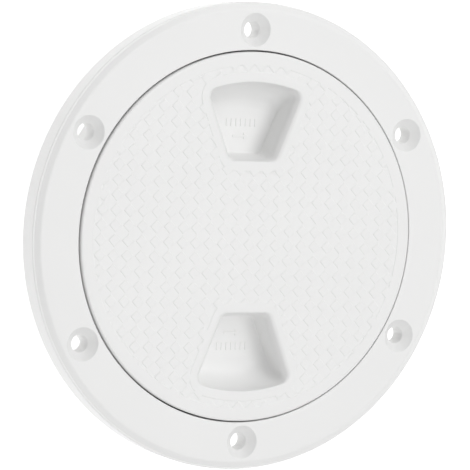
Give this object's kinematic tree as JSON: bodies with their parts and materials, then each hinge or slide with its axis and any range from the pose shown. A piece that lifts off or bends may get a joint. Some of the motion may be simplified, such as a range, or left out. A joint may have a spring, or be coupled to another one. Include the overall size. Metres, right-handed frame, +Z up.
{
  "type": "deck inspection plate",
  "caption": "round screw-out deck inspection plate: a flanged ring screwed to the deck and a threaded cover with a stud tread and finger recesses",
  "frame": {"origin": "centre of the circle of screw holes, on the underside of the flange, where the deck's surface is", "axes": "+Z up out of the deck along the screw axis, +Y from the centre to the upper finger recess, +X along the rib between the recesses"},
  "size_m": [0.143, 0.143, 0.0226],
  "materials": {
    "ring_plastic": "white moulded plastic, satin",
    "lid_plastic": "white moulded plastic, satin",
    "seal_rubber": "black rubber, dull"
  },
  "bodies": {
    "mounting_ring": {"ring_frame": "ring_plastic"},
    "seal": {"o_ring": "seal_rubber"},
    "cover": {"lid": "lid_plastic"}
  },
  "joints": [
    {"name": "lid_lift", "type": "slide", "parent": "mounting_ring", "child": "seal", "axis": [0, 0, 1], "range_m": [0, 0.0075]},
    {"name": "lid_turn", "type": "hinge", "parent": "seal", "child": "cover", "pos_m": [0, 0, 0], "axis": [0, 0, 1], "range_deg": [0, 540]}
  ],
  "couplings": [
    {"joint": "lid_lift", "follows": "lid_turn", "m_per_rad": 0.00079577}
  ]
}
